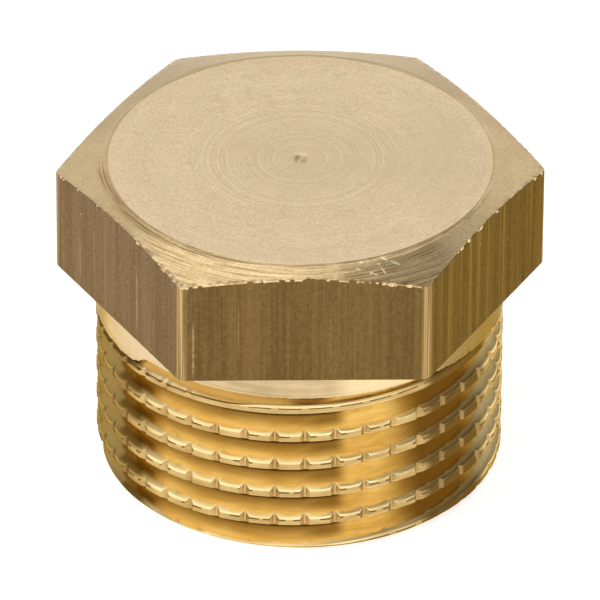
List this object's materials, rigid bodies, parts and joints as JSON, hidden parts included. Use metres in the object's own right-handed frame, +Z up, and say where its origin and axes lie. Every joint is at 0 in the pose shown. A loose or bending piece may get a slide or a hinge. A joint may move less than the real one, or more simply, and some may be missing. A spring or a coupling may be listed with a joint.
{
  "type": "threaded pipe plug",
  "caption": "Brass plug that closes a threaded pipe end: hexagon head with a coned top, short plain neck and a nicked parallel pipe thread.",
  "frame": {"origin": "centre of the threaded end face, on the thread axis, where the plug stands", "axes": "+Z up the thread axis to the head, -Y out of one flat of the hexagon, +X through a corner of the hexagon"},
  "size_m": [0.0196, 0.017, 0.0133],
  "materials": {
    "brass": "turned brass on the top, cone, neck and thread, dull drawn bar on the hexagon flats"
  },
  "bodies": {
    "root": {"plug_body": "brass"}
  },
  "joints": []
}
